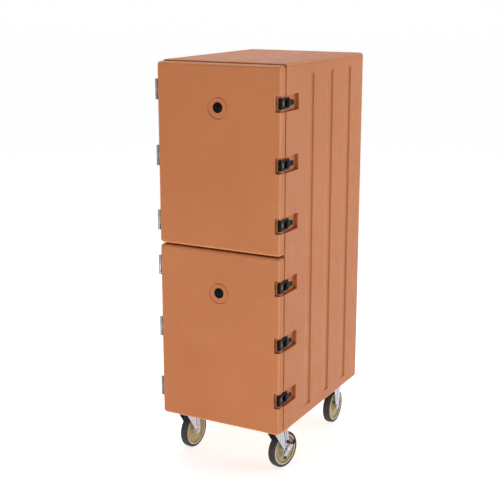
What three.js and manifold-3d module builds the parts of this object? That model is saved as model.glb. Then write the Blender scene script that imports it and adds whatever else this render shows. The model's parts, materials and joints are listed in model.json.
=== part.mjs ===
// Insulated food carrier: a tall moulded cabinet on casters, with two overlay doors.
// Millimetres, +Z up. The doors are on the -Y side, their hinges on the -X side and their latches on +X.
// The origin is on the floor under the middle of the whole object's box.

import * as THREE from 'three';
import { mergeVertices } from 'three/addons/utils/BufferGeometryUtils.js';
import Module from 'manifold-3d';

const wasm = await Module();
wasm.setup();

// ---------------------------------------------------------------- driving dimensions

const WIDTH = 549;
const DEPTH = 782;
const BODY_HEIGHT = 1469;
const BODY_BASE = 191;
const BODY_TOP = BODY_BASE + BODY_HEIGHT;
const FRONT = -DEPTH / 2;
const SIDE = WIDTH / 2;

const FIT_GAP = 0.3;
const SKIN = 5;
const CORNER_RADIUS = 14;
const EDGE_RADIUS = 12;
const SEAM_RADIUS = 5;
const ROUND_STEPS = 3;

const DOOR_THICKNESS = 40;
const DOOR_SEAM = 2.5;
const DOOR_GAP = 6;
const DOOR_HEIGHT = (BODY_HEIGHT - DOOR_GAP) / 2;
// The doors stand back from the cabinet's outline at their free edges, and the upper one at its top.
const DOOR_STEP = { side: 4, top: 6 };
const CABINET_FRONT = FRONT + DOOR_THICKNESS + DOOR_SEAM;

const WALL = 42;
const END_WALL = 45;
const DIVIDER = 70;
const CAVITY_WIDTH = WIDTH - 2 * WALL;
const CAVITY_HEIGHT = (BODY_HEIGHT - 2 * END_WALL - DIVIDER) / 2;
const CAVITY_BACK = DEPTH / 2 - END_WALL;
const LEDGE = { count: 8, reach: 15, thickness: 12, first: 62, pitch: 74, start: 48 };

const PLUG = { depth: 28, clearance: 4, taper: 4 };
const GASKET = { width: 9, groove: 4, offset: 7 };
const PORT_RADIUS = 10;

const CHANNEL = { depth: 8.5, width: 67, step: 6, endGap: 46, rearEdges: [287, 468, 649] };

const VENT = { below: 172.5, bore: 11, stem: 10, cap: 21, reach: 6 };
const VENT_RING = { inner: 39, outer: 43.5, depth: 2.2 };

const HINGE_OFFSETS = [115, 377, 640];
const HINGE = { height: 81, recess: 2, recessHeight: 88, leaf: 2.5, barrel: 6.2, pin: 3 };
const HINGE_PIN = { out: 7.5, behindFront: 12 };
const HINGE_REACH = HINGE_PIN.out + HINGE.barrel;

const LATCH_OFFSETS = [146, 378, 611];
const POCKET = { halfHeight: 31, depth: 17, end: 147, frontWidth: 28, frontDepth: 15, ridge: 11 };
const CATCH_LUG = { inset: 4.8, near: 18, far: 28, halfHeight: 9 };
const LEVER_PIVOT = { inset: 7, behindFront: 57 };
const LOOP_PIVOT = { inset: 8.2, behindFront: 69 };
const LOOP = { inner: 10, outer: 5, halfHeight: 20.5, armInner: 14.5, pinRadius: 2.2 };

const WHEEL = { radius: 76, width: 32, coreRadius: 65, bore: 6.4, axle: 6, sides: 24 };
const HUB = { width: 38, radius: 17 };
const CASTER = { x: 212, frontY: FRONT + 97, rearY: FRONT + 664, trail: 38 };
const TOP_PLATE = { width: 90, length: 105, thickness: 5 };
const FORK = { crownTop: 172, crown: 5, legInner: 21, leg: 4, kingpin: 6 };
const BRAKE = { thickness: 2.5, pedal: 9, toe: 8 };
const SWIVEL_REST = { left: -5, right: -14 };

// ---------------------------------------------------------------- materials

function material(color, roughness, metalness) {
  return new THREE.MeshStandardMaterial({ color, roughness, metalness });
}

const MOULDED = material(0xb8744e, 0.62, 0);
const FOAM = material(0xe6d9a8, 0.9, 0);
const RUBBER = material(0x2b2a29, 0.8, 0);
const TYRE = material(0x35353a, 0.75, 0);
const NYLON = material(0x101214, 0.45, 0);
const STAINLESS = material(0xc2c4c6, 0.3, 1);
const ZINC = material(0xc9ccd2, 0.35, 1);
const CORE = material(0x9a8d5e, 0.5, 0);

// ---------------------------------------------------------------- solids

// A closed geometry becomes a manifold solid with its faces turned outward.
function toSolid(geometry) {
  const bare = geometry.index ? geometry.toNonIndexed() : geometry.clone();
  bare.deleteAttribute('normal');
  bare.deleteAttribute('uv');
  const merged = mergeVertices(bare, 1e-3);
  const points = merged.attributes.position.array;
  const triangles = new Uint32Array(merged.index.array);
  if (signedVolume(points, triangles) < 0) {
    for (let i = 0; i < triangles.length; i += 3) {
      [triangles[i], triangles[i + 1]] = [triangles[i + 1], triangles[i]];
    }
  }
  return new wasm.Manifold(new wasm.Mesh({ numProp: 3, vertProperties: points, triVerts: triangles }));
}

function signedVolume(points, triangles) {
  const corner = (i) => new THREE.Vector3().fromArray(points, 3 * triangles[i]);
  let total = 0;
  for (let i = 0; i < triangles.length; i += 3) {
    total += corner(i).dot(corner(i + 1).cross(corner(i + 2)));
  }
  return total / 6;
}

function toGeometry(solid) {
  const mesh = solid.getMesh();
  const geometry = new THREE.BufferGeometry();
  geometry.setAttribute('position', new THREE.BufferAttribute(new Float32Array(mesh.vertProperties), 3));
  geometry.setIndex(new THREE.BufferAttribute(new Uint32Array(mesh.triVerts), 1));
  geometry.computeVertexNormals();
  return geometry;
}

function join(...solids) {
  return solids.reduce((whole, solid) => whole.add(solid));
}

function cut(solid, ...tools) {
  return tools.reduce((rest, tool) => rest.subtract(tool), solid);
}

// A box between two corners.
function block(x0, x1, y0, y1, z0, z1) {
  const box = new THREE.BoxGeometry(x1 - x0, y1 - y0, z1 - z0);
  box.translate((x0 + x1) / 2, (y0 + y1) / 2, (z0 + z1) / 2);
  return toSolid(box);
}

// A cylinder from one point along an axis.
function rod(axis, radius, length, x, y, z, sides = 8) {
  const cylinder = new THREE.CylinderGeometry(radius, radius, length, sides);
  cylinder.translate(0, length / 2, 0);
  turnToAxis(cylinder, axis);
  cylinder.translate(x, y, z);
  return toSolid(cylinder);
}

// A turned solid: profile points are [radius, distance along the axis].
function turned(axis, profile, sides, x = 0, y = 0, z = 0) {
  const lathe = new THREE.LatheGeometry(profile.map(([r, along]) => new THREE.Vector2(r, along)), sides);
  turnToAxis(lathe, axis);
  lathe.translate(x, y, z);
  return toSolid(lathe);
}

function turnToAxis(geometry, axis) {
  if (axis === 'x') geometry.rotateZ(-Math.PI / 2);
  if (axis === 'z') geometry.rotateX(Math.PI / 2);
}

const X = new THREE.Vector3(1, 0, 0);
const Y = new THREE.Vector3(0, 1, 0);
const Z = new THREE.Vector3(0, 0, 1);

// Where a prism's outline axes and its length point: an outline is [y, z], [x, z] or [x, y].
const PRISM_BASIS = {
  x: new THREE.Matrix4().makeBasis(Y, Z, X),
  y: new THREE.Matrix4().makeBasis(X, Z, Y),
  z: new THREE.Matrix4().makeBasis(X, Y, Z),
};

// A prism: an outline in the plane across an axis, drawn from one place along that axis to another.
function prism(axis, outline, from, to) {
  const shape = outline instanceof THREE.Shape ? outline : polygon(outline);
  const options = { depth: to - from, bevelEnabled: false, curveSegments: 4 };
  const geometry = new THREE.ExtrudeGeometry(shape, options);
  geometry.translate(0, 0, from);
  geometry.applyMatrix4(PRISM_BASIS[axis]);
  return toSolid(geometry);
}

function polygon(points) {
  return new THREE.Shape(points.map(([a, b]) => new THREE.Vector2(a, b)));
}

// The outline of a rectangle with round corners, in the XZ plane, as [x, z] points.
function roundedOutline(width, height, radius) {
  const points = [];
  const centres = [[1, 1], [-1, 1], [-1, -1], [1, -1]];
  centres.forEach(([sx, sz], corner) => {
    for (let i = 0; i <= ROUND_STEPS; i++) {
      const angle = (corner + i / ROUND_STEPS) * Math.PI / 2;
      const x = sx * (width / 2 - radius) + radius * Math.cos(angle);
      const z = sz * (height / 2 - radius) + radius * Math.sin(angle);
      points.push([x, z]);
    }
  });
  return points;
}

// A box lofted along Y through stations of { y, inset }: every side of the rectangle moves in by the inset.
function lofted(width, height, radius, stations) {
  const rings = stations.map(({ y, inset }) => {
    const corner = Math.max(radius - inset, 0.5);
    return roundedOutline(width - 2 * inset, height - 2 * inset, corner).map(([x, z]) => [x, y, z]);
  });
  const count = rings[0].length;
  const index = [];
  for (let ring = 0; ring + 1 < rings.length; ring++) {
    for (let i = 0; i < count; i++) {
      const a = ring * count + i;
      const b = ring * count + (i + 1) % count;
      index.push(a, b, a + count, b, b + count, a + count);
    }
  }
  const last = (rings.length - 1) * count;
  for (let i = 1; i + 1 < count; i++) {
    index.push(0, i + 1, i, last, last + i, last + i + 1);
  }
  const geometry = new THREE.BufferGeometry();
  geometry.setAttribute('position', new THREE.Float32BufferAttribute(rings.flat(2), 3));
  geometry.setIndex(index);
  return toSolid(geometry);
}

// Stations of a box from y0 to y1 whose front and rear edges are rounded.
function roundedStations(y0, y1, frontRadius, rearRadius) {
  const stations = [];
  for (let i = 0; i <= ROUND_STEPS; i++) {
    const angle = (i / ROUND_STEPS) * Math.PI / 2;
    const along = 1 - Math.sin(angle);
    const inward = 1 - Math.cos(angle);
    stations.push({ y: y0 + frontRadius * along, inset: frontRadius * inward });
    stations.push({ y: y1 - rearRadius * along, inset: rearRadius * inward });
  }
  return stations.sort((a, b) => a.y - b.y);
}

// ---------------------------------------------------------------- the assembly

const product = new THREE.Group();

function place(parent, name, solid, look) {
  const mesh = new THREE.Mesh(toGeometry(solid), look);
  mesh.name = name;
  parent.add(mesh);
}

function groupAt(parent, x, y, z) {
  const group = new THREE.Group();
  group.position.set(x, y, z);
  parent.add(group);
  return group;
}

// The two doors mirror each other about the middle of the body, so their fittings do too.
const DOORS = [
  { name: 'upper', centre: BODY_TOP - DOOR_HEIGHT / 2, fromTop: (offset) => BODY_TOP - offset },
  { name: 'lower', centre: BODY_BASE + DOOR_HEIGHT / 2, fromTop: (offset) => BODY_BASE + offset },
];

function latchHeights(door) {
  return LATCH_OFFSETS.map((offset) => door.fromTop(offset));
}

function hingeHeights(door) {
  return HINGE_OFFSETS.map((offset) => door.fromTop(offset));
}

// ---------------------------------------------------------------- cabinet

function cavityCentre(index) {
  const fromTop = END_WALL + CAVITY_HEIGHT / 2 + index * (CAVITY_HEIGHT + DIVIDER);
  return BODY_TOP - fromTop;
}

// The compartment: a plain mouth for the door's plug, then side walls with ledges for pans and trays.
function compartment(index) {
  const z = cavityCentre(index);
  const half = CAVITY_WIDTH / 2;
  const floor = z - CAVITY_HEIGHT / 2;
  const mouth = block(-half, half, CABINET_FRONT - 1, CAVITY_BACK, floor, floor + CAVITY_HEIGHT);
  const ledges = [];
  for (let i = 0; i < LEDGE.count; i++) {
    const bottom = floor + LEDGE.first + i * LEDGE.pitch;
    for (const side of [-1, 1]) {
      const wall = side * (half + 1);
      const tip = side * (half - LEDGE.reach);
      const top = bottom + LEDGE.thickness;
      const outline = [[wall, bottom - 6], [tip, bottom], [tip, top], [wall, top]];
      ledges.push(prism('y', outline, CABINET_FRONT + LEDGE.start, CAVITY_BACK + 1));
    }
  }
  return cut(mouth, ...ledges);
}

// One vertical channel in a side wall: a long ramp inward towards the rear, then a steep step out.
function channel(side, rearEdge, grow) {
  const y1 = FRONT + rearEdge + grow;
  const y0 = FRONT + rearEdge - CHANNEL.width - 2 * grow;
  const deep = side * (SIDE - CHANNEL.depth - grow);
  const face = side * (SIDE + 1);
  const outline = [[face, y0], [face, y1], [deep, y1 - CHANNEL.step], [deep, y1 - CHANNEL.step - 8]];
  return prism('z', outline, BODY_BASE + CHANNEL.endGap - grow, BODY_TOP - CHANNEL.endGap + grow);
}

function channels(grow) {
  return CHANNEL.rearEdges.flatMap((edge) => [channel(-1, edge, grow), channel(1, edge, grow)]);
}

function cabinetPocket(z, grow) {
  const half = POCKET.halfHeight + grow;
  const inner = SIDE - POCKET.depth - grow;
  return block(inner, SIDE + 1, CABINET_FRONT - 1, FRONT + POCKET.end + grow, z - half, z + half);
}

function cabinetHingeRecess(z) {
  const half = HINGE.recessHeight / 2;
  return block(-SIDE - 1, -SIDE + HINGE.recess, CABINET_FRONT - 1, FRONT + 106, z - half, z + half);
}

const BODY_MIDDLE = BODY_BASE + BODY_HEIGHT / 2;

// The hollow between the outer and inner skins, which the foam fills, with its filling port in the floor.
function cabinetHollow(gap) {
  const inset = SKIN + gap;
  const stations = [
    { y: CABINET_FRONT + inset, inset },
    { y: DEPTH / 2 - inset, inset },
  ];
  const whole = lofted(WIDTH, BODY_HEIGHT, CORNER_RADIUS, stations).translate([0, 0, BODY_MIDDLE]);
  const inner = [0, 1].map((index) => {
    const z = cavityCentre(index);
    const halfWidth = CAVITY_WIDTH / 2 + inset;
    const halfHeight = CAVITY_HEIGHT / 2 + inset;
    const back = CAVITY_BACK + inset;
    return block(-halfWidth, halfWidth, CABINET_FRONT - 1, back, z - halfHeight, z + halfHeight);
  });
  const pockets = DOORS.flatMap(latchHeights).map((z) => cabinetPocket(z, inset));
  const port = rod('z', PORT_RADIUS - gap, SKIN + 2, 0, 0, BODY_BASE + gap);
  return join(cut(whole, ...inner, ...pockets, ...channels(inset)), port);
}

function buildCabinet() {
  const stations = roundedStations(CABINET_FRONT, DEPTH / 2, SEAM_RADIUS, EDGE_RADIUS);
  const outer = lofted(WIDTH, BODY_HEIGHT, CORNER_RADIUS, stations).translate([0, 0, BODY_MIDDLE]);
  const tools = [
    compartment(0),
    compartment(1),
    ...channels(0),
    ...DOORS.flatMap(latchHeights).map((z) => cabinetPocket(z, 0)),
    ...DOORS.flatMap(hingeHeights).map(cabinetHingeRecess),
    cabinetHollow(0),
    rod('z', PORT_RADIUS, 2, 0, 0, BODY_BASE - 1),
  ];
  place(product, 'cabinet_shell', cut(outer, ...tools), MOULDED);
  place(product, 'cabinet_foam', cabinetHollow(FIT_GAP), FOAM);
}

// ---------------------------------------------------------------- doors

function plugStations(y0, y1) {
  return [
    { y: y0, inset: 0 },
    { y: y1 - 4, inset: PLUG.taper },
    { y: y1, inset: PLUG.taper + 4 },
  ];
}

const PLUG_WIDTH = CAVITY_WIDTH - 2 * PLUG.clearance;
const PLUG_HEIGHT = CAVITY_HEIGHT - 2 * PLUG.clearance;
const PLUG_BACK = CABINET_FRONT + PLUG.depth;
const DOOR_BACK = FRONT + DOOR_THICKNESS;

// The pocket in the door's latch edge: open to the front and side, with a ridge that the latch hooks on.
function doorPocket(z, grow) {
  const half = POCKET.halfHeight + grow;
  const front = FRONT + POCKET.frontDepth + grow;
  const mouth = block(SIDE - POCKET.frontWidth - grow, SIDE + 1, FRONT - 1, front, z - half, z + half);
  const side = block(SIDE - POCKET.ridge - grow, SIDE + 1, FRONT - 1, DOOR_BACK + 1, z - half, z + half);
  return join(mouth, side);
}

// A lug on the ridge, which stands in the window of the closed latch's hook.
function catchLug(z) {
  const { inset, near, far, halfHeight } = CATCH_LUG;
  const ridge = SIDE - POCKET.ridge - 1;
  return block(ridge, SIDE - inset, FRONT + near, FRONT + far, z - halfHeight, z + halfHeight);
}

function doorHingeRecess(z) {
  const half = HINGE.recessHeight / 2;
  return block(-SIDE - 1, -SIDE + HINGE.recess, FRONT - 1, DOOR_BACK + 1, z - half, z + half);
}

// The centre of the door's plug is the centre of its compartment.
function plugCentre(door) {
  return cavityCentre(door.name === 'upper' ? 0 : 1);
}

// A solid with the door's outline, flush with the cabinet's at the hinges and at the bottom.
function doorOutline(door, stations) {
  const lowered = door.name === 'upper' ? DOOR_STEP.top : 0;
  const solid = lofted(WIDTH - DOOR_STEP.side, DOOR_HEIGHT - lowered, CORNER_RADIUS, stations);
  return solid.translate([-DOOR_STEP.side / 2, 0, door.centre - lowered / 2]);
}

function ventHeight(door) {
  return door.centre + DOOR_HEIGHT / 2 - VENT.below;
}

function doorHollow(door, gap) {
  const inset = SKIN + gap;
  const panel = doorOutline(door, [
    { y: FRONT + inset, inset: inset + 5 },
    { y: FRONT + inset + 6, inset },
    { y: DOOR_BACK - inset, inset },
  ]);
  const plug = lofted(PLUG_WIDTH, PLUG_HEIGHT, CORNER_RADIUS, [
    { y: DOOR_BACK - inset - 1, inset: inset + GASKET.offset },
    { y: PLUG_BACK - inset, inset: inset + GASKET.offset },
  ]).translate([0, 0, plugCentre(door)]);
  const vent = rod('y', VENT.bore + inset, 100, 0, FRONT - 1, ventHeight(door), 12);
  const pockets = latchHeights(door).map((z) => doorPocket(z, inset));
  const port = rod('y', PORT_RADIUS - gap, SKIN + 2, 0, PLUG_BACK - gap - SKIN - 2, door.centre - 100);
  return join(cut(join(panel, plug), vent, ...pockets), port);
}

// A rectangular ring round the plug, on the door's inner face.
function sealRing(door, y0, y1, gap) {
  const ring = (offset) => {
    const width = CAVITY_WIDTH + 2 * offset;
    const height = CAVITY_HEIGHT + 2 * offset;
    return lofted(width, height, CORNER_RADIUS, [{ y: y0, inset: 0 }, { y: y1, inset: 0 }]);
  };
  const band = cut(ring(GASKET.offset + GASKET.width - gap), ring(GASKET.offset + gap));
  return band.translate([0, 0, plugCentre(door)]);
}

function buildDoor(door) {
  const panel = doorOutline(door, roundedStations(FRONT, DOOR_BACK, EDGE_RADIUS, SEAM_RADIUS));
  const plug = lofted(PLUG_WIDTH, PLUG_HEIGHT, CORNER_RADIUS, plugStations(DOOR_BACK - 1, PLUG_BACK));
  const ventZ = ventHeight(door);
  const ringProfile = [
    [VENT_RING.inner, 0],
    [VENT_RING.outer, 0],
    [VENT_RING.outer - 1, VENT_RING.depth + 1],
    [VENT_RING.inner + 1, VENT_RING.depth + 1],
    [VENT_RING.inner, 0],
  ];
  const tools = [
    ...latchHeights(door).map((z) => doorPocket(z, 0)),
    ...hingeHeights(door).map(doorHingeRecess),
    rod('y', VENT.bore, 100, 0, FRONT - 1, ventZ, 16),
    turned('y', ringProfile, 24, 0, FRONT - 1, ventZ),
    sealRing(door, DOOR_BACK - GASKET.groove, DOOR_BACK + 1, 0),
    doorHollow(door, 0),
    rod('y', PORT_RADIUS, 2, 0, PLUG_BACK - 1, door.centre - 100),
  ];
  const whole = join(panel, plug.translate([0, 0, plugCentre(door)]));
  const shell = join(cut(whole, ...tools), ...latchHeights(door).map(catchLug));
  place(product, `${door.name}_door_shell`, shell, MOULDED);
  place(product, `${door.name}_door_foam`, doorHollow(door, FIT_GAP), FOAM);
  const seal = sealRing(door, DOOR_BACK - GASKET.groove + FIT_GAP, CABINET_FRONT - FIT_GAP, FIT_GAP);
  place(product, `${door.name}_door_gasket`, seal, RUBBER);
  buildVentCap(door, ventZ);
}

// A turning vent cap: a domed disc with a grip bar, and a stem through the door held by a lip inside.
function buildVentCap(door, z) {
  const group = groupAt(product, 0, FRONT, z);
  const inside = PLUG_BACK - FRONT;
  const profile = [
    [0, -4],
    [16, -3.4],
    [VENT.cap, -2],
    [VENT.cap, -FIT_GAP],
    [VENT.stem, -FIT_GAP],
    [VENT.stem, inside + FIT_GAP],
    [VENT.stem + 4, inside + FIT_GAP],
    [VENT.stem + 2, inside + 4],
    [0, inside + 4],
  ];
  const cap = turned('y', profile, 16);
  const grip = block(-15, 15, -VENT.reach, -3, -2.5, 2.5);
  place(group, `${door.name}_vent_cap`, join(cap, grip), NYLON);
}

// ---------------------------------------------------------------- hinges

// A hinge is drawn about its pin: +X towards the door and cabinet, +Y towards the rear.
function buildHinge(name, z) {
  const pinX = -SIDE - HINGE_PIN.out;
  const pinY = FRONT + HINGE_PIN.behindFront;
  const group = groupAt(product, pinX, pinY, z);
  const half = HINGE.height / 2;
  const third = HINGE.height / 3;
  const recessFloor = HINGE_PIN.out + HINGE.recess;
  const plateOuter = recessFloor - FIT_GAP - HINGE.leaf;
  const strapOuter = plateOuter - 0.8 - HINGE.leaf;
  const cabinetFace = CABINET_FRONT - pinY;
  const screwSpots = [-28, 0, 28];

  const doorLeaf = join(
    block(plateOuter, recessFloor - FIT_GAP, -2, 26, -half, half),
    block(2, recessFloor - FIT_GAP, -3, 3, -third / 2 + FIT_GAP, third / 2 - FIT_GAP),
    rod('z', HINGE.barrel, third - 2 * FIT_GAP, 0, 0, -third / 2 + FIT_GAP, 12),
  );
  const doorPinHole = rod('z', HINGE.pin + FIT_GAP, HINGE.height, 0, 0, -half);
  place(group, `${name}_door_leaf`, cut(doorLeaf, doorPinHole), STAINLESS);

  const strap = (from, z0, z1) => (
    block(strapOuter, strapOuter + HINGE.leaf, from, cabinetFace + 8, z0, z1)
  );
  const cabinetLeaf = join(
    rod('z', HINGE.barrel, third, 0, 0, third / 2, 12),
    rod('z', HINGE.barrel, third, 0, 0, -half, 12),
    rod('z', HINGE.pin, HINGE.height, 0, 0, -half),
    strap(0, third / 2, half),
    strap(0, -half, -third / 2),
    strap(9, -half, half),
    block(strapOuter, recessFloor - FIT_GAP, cabinetFace + 2, cabinetFace + 8, -half, half),
    block(plateOuter, recessFloor - FIT_GAP, cabinetFace + 2, cabinetFace + 60, -half, half),
    ...screwSpots.map((spot) => rod('x', 4.5, 2.5, plateOuter - 2, cabinetFace + 36, spot)),
  );
  place(group, `${name}_cabinet_leaf`, cabinetLeaf, STAINLESS);
}

// ---------------------------------------------------------------- latches

// A latch is drawn about a point on the side face, in line with the door's front face:
// +X out of the side, +Y towards the rear.
function buildLatch(name, z) {
  const group = groupAt(product, SIDE, FRONT, z);
  const floor = -POCKET.depth;
  const lever = { x: -LEVER_PIVOT.inset, y: LEVER_PIVOT.behindFront };
  const loop = { x: -LOOP_PIVOT.inset, y: LOOP_PIVOT.behindFront };

  const base = join(
    block(floor + FIT_GAP, floor + 2.8, lever.y - 9, lever.y + 36, -18, 18),
    block(floor + FIT_GAP, lever.x, lever.y - 3.8, lever.y + 3.8, -6, 6),
    rod('z', 3.8, 12, lever.x, lever.y, -6),
    rod('z', 2.2, 26, lever.x, lever.y, -13),
    rod('x', 3.6, 2, floor + 2, lever.y + 30, 12),
    rod('x', 3.6, 2, floor + 2, lever.y + 30, -12),
  );
  place(group, `${name}_base`, base, NYLON);

  const cheek = (z0, z1) => join(
    rod('z', 3.9, z1 - z0, lever.x, lever.y, z0),
    rod('z', 3.9, z1 - z0, loop.x, loop.y, z0),
    block(lever.x - 3.6, lever.x + 3.6, lever.y, loop.y, z0, z1),
  );
  const coverOutline = [
    [lever.y + 4, -14],
    [loop.y + 9, -14],
    [loop.y + 17, -10],
    [loop.y + 33, -10],
    [loop.y + 33, 10],
    [loop.y + 17, 10],
    [loop.y + 9, 14],
    [lever.y + 4, 14],
  ];
  const handle = cut(
    join(
      cheek(6.5, 14),
      cheek(-14, -6.5),
      prism('x', coverOutline, -5.2, -1.8),
      block(-1.9, -0.4, loop.y + 29.5, loop.y + 33, -10, 10),
      rod('z', LOOP.pinRadius, 2 * LOOP.halfHeight, loop.x, loop.y, -LOOP.halfHeight),
    ),
    rod('z', 2.5, 40, lever.x, lever.y, -20),
  );
  place(group, `${name}_lever`, handle, NYLON);

  const web = 33;
  const hook = cut(
    join(
      block(-18, -3, 3, 14.6, -21, 21),
      block(-LOOP.inner, -LOOP.outer + 2, 3, web, -21, 21),
      ...[-1, 1].flatMap((side) => {
        const z0 = side > 0 ? LOOP.armInner : -LOOP.halfHeight;
        const z1 = side > 0 ? LOOP.halfHeight : -LOOP.armInner;
        return [
          block(loop.x - 2.6, loop.x + 3.2, web - 4, loop.y, z0, z1),
          rod('z', 4.2, z1 - z0, loop.x, loop.y, z0),
        ];
      }),
    ),
    block(-19, -2, 17, 29, -10, 10),
    rod('z', LOOP.pinRadius + FIT_GAP, 60, loop.x, loop.y, -30),
  );
  place(group, `${name}_loop`, hook, NYLON);
}

// ---------------------------------------------------------------- casters

// Tyre and core are turned about the axle, along X.
function buildWheel(parent, name) {
  const half = WHEEL.width / 2;
  const r = WHEEL.radius;
  const c = WHEEL.coreRadius;
  const tyreProfile = [
    [c + FIT_GAP, -half],
    [r - 4, -half],
    [r, -half + 8],
    [r, half - 8],
    [r - 4, half],
    [c + FIT_GAP, half],
    [c + FIT_GAP, -half],
  ];
  const hub = HUB.width / 2;
  const coreProfile = [
    [WHEEL.bore, -hub],
    [HUB.radius, -hub],
    [HUB.radius + 2, -half + 7],
    [c - 8, -half + 3],
    [c, -half + 3],
    [c, half - 3],
    [c - 8, half - 3],
    [HUB.radius + 2, half - 7],
    [HUB.radius, hub],
    [WHEEL.bore, hub],
    [WHEEL.bore, -hub],
  ];
  place(parent, `${name}_tyre`, turned('x', tyreProfile, WHEEL.sides), TYRE);
  place(parent, `${name}_wheel_core`, turned('x', coreProfile, WHEEL.sides), CORE);
}

// The axle bolt: a shank through both legs, with a head at one end and a nut at the other.
function buildAxle(parent, name, underNut) {
  const outer = FORK.legInner + FORK.leg + FIT_GAP;
  const bolt = join(
    rod('x', WHEEL.axle, 2 * outer + 14.5 + underNut, -outer - 6.5, 0, 0, 12),
    rod('x', 10, 6, -outer - 6, 0, 0, 6),
    rod('x', 10, 7, outer + underNut, 0, 0, 6),
  );
  place(parent, `${name}_axle`, bolt, ZINC);
}

// One leg in side view, from the crown's corners down to a round end about the axle, as [y, z].
function legOutline(top, frontY, rearY, axleY) {
  const end = 14;
  const outline = new THREE.Shape();
  outline.moveTo(frontY, top);
  outline.lineTo(axleY - end, WHEEL.radius);
  outline.absarc(axleY, WHEEL.radius, end, Math.PI, 2 * Math.PI, false);
  outline.lineTo(rearY, top);
  return outline;
}

function legs(outline, axleY) {
  const inner = FORK.legInner;
  const pair = [[-inner - FORK.leg, -inner], [inner, inner + FORK.leg]];
  const plates = pair.map(([x0, x1]) => prism('x', outline, x0, x1));
  const hole = rod('x', WHEEL.axle + FIT_GAP, 80, -40, axleY, WHEEL.radius, 12);
  return { plates, hole };
}

function boltHoles(plateZ) {
  const x = TOP_PLATE.width / 2 - 12;
  const y = TOP_PLATE.length / 2 - 12;
  const corners = [[-x, -y], [x, -y], [x, y], [-x, y]];
  return corners.map(([px, py]) => rod('z', 4.5, 20, px, py, plateZ - 10));
}

function plateBlock(z0, z1) {
  const x = TOP_PLATE.width / 2;
  const y = TOP_PLATE.length / 2;
  return block(-x, x, -y, y, z0, z1);
}

const PLATE_TOP = BODY_BASE - FIT_GAP;
const PLATE_BOTTOM = PLATE_TOP - TOP_PLATE.thickness;

function buildSwivelCaster(name, x, restAngle, braked) {
  const fixed = groupAt(product, x, CASTER.frontY, 0);
  const race = FORK.crownTop + FIT_GAP;
  const crownBottom = FORK.crownTop - FORK.crown;
  const plate = join(
    cut(plateBlock(PLATE_BOTTOM, PLATE_TOP), ...boltHoles(PLATE_BOTTOM)),
    rod('z', 32, PLATE_BOTTOM - race + 1, 0, 0, race, 20),
    rod('z', FORK.kingpin, PLATE_BOTTOM - crownBottom + 8, 0, 0, crownBottom - 6, 12),
    rod('z', 10, 6, 0, 0, crownBottom - 6 - FIT_GAP, 6),
  );
  place(fixed, `${name}_top_plate`, plate, ZINC);

  const swivel = groupAt(fixed, 0, 0, 0);
  swivel.rotation.z = THREE.MathUtils.degToRad(restAngle);
  const outline = legOutline(FORK.crownTop, -32, CASTER.trail + 10, CASTER.trail);
  const { plates, hole } = legs(outline, CASTER.trail);
  const width = FORK.legInner + FORK.leg;
  const crown = join(
    block(-width, width, -32, CASTER.trail - 2, crownBottom, FORK.crownTop),
    rod('z', 34, FORK.crown, 0, 0, crownBottom, 20),
  );
  const kingpinHole = rod('z', FORK.kingpin + FIT_GAP, 40, 0, 0, crownBottom - 20, 12);
  place(swivel, `${name}_fork`, cut(join(crown, ...plates), hole, kingpinHole), ZINC);

  const hub = groupAt(swivel, 0, CASTER.trail, WHEEL.radius);
  buildWheel(hub, name);
  buildAxle(hub, name, braked ? BRAKE.thickness + FIT_GAP : 0);
  if (braked) buildBrakeLever(hub, name);
}

// The brake lever turns on the axle bolt outside the leg, between the leg and the nut:
// a flat strip with a pedal at the rear and a short toe in front.
function buildBrakeLever(parent, name) {
  const x0 = FORK.legInner + FORK.leg + FIT_GAP;
  const under = [[-22, -22], [-11, -30], [6, -15], [32, 6], [44, 20]];
  const over = [[45, 36], [37, 37], [20, 24], [-2, 14], [-13, 0]];
  const lever = join(
    prism('x', [...under, ...over], x0, x0 + BRAKE.thickness),
    block(x0, x0 + BRAKE.pedal, 28, 45, 17, 26),
    block(x0, x0 + BRAKE.toe, -23, -10, -32, -22),
  );
  const hole = rod('x', WHEEL.axle + FIT_GAP, 40, 20, 0, 0, 12);
  place(parent, `${name}_brake_lever`, cut(lever, hole), ZINC);
}

function buildRigidCaster(name, x) {
  const fixed = groupAt(product, x, CASTER.rearY, 0);
  const { plates, hole } = legs(legOutline(PLATE_BOTTOM + 1, -36, 36, 0), 0);
  const plate = cut(plateBlock(PLATE_BOTTOM, PLATE_TOP), ...boltHoles(PLATE_BOTTOM));
  place(fixed, `${name}_bracket`, cut(join(plate, ...plates), hole), ZINC);
  const hub = groupAt(fixed, 0, 0, WHEEL.radius);
  buildWheel(hub, name);
  buildAxle(hub, name, 0);
}

// ---------------------------------------------------------------- build

buildCabinet();
for (const door of DOORS) {
  buildDoor(door);
  hingeHeights(door).forEach((z, i) => buildHinge(`${door.name}_hinge_${i + 1}`, z));
  latchHeights(door).forEach((z, i) => buildLatch(`${door.name}_latch_${i + 1}`, z));
}
buildSwivelCaster('front_left', -CASTER.x, SWIVEL_REST.left, false);
buildSwivelCaster('front_right', CASTER.x, SWIVEL_REST.right, true);
buildRigidCaster('rear_left', -CASTER.x);
buildRigidCaster('rear_right', CASTER.x);

// The hinges stand out on the left and the vent caps in front, so the box's middle is moved to the origin.
product.position.set(HINGE_REACH / 2, VENT.reach / 2, 0);

export default product;
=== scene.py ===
"""Insulated food carrier: the fine meshes, materials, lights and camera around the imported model.

Shapes are drawn in millimetres and become metres in piece(). A piece that turns is drawn about its
own joint, with +X out of the latches' side, +Y towards the rear and +Z up.
"""
import json
import math

import bmesh
import bpy
from mathutils import Matrix, Vector


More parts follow.
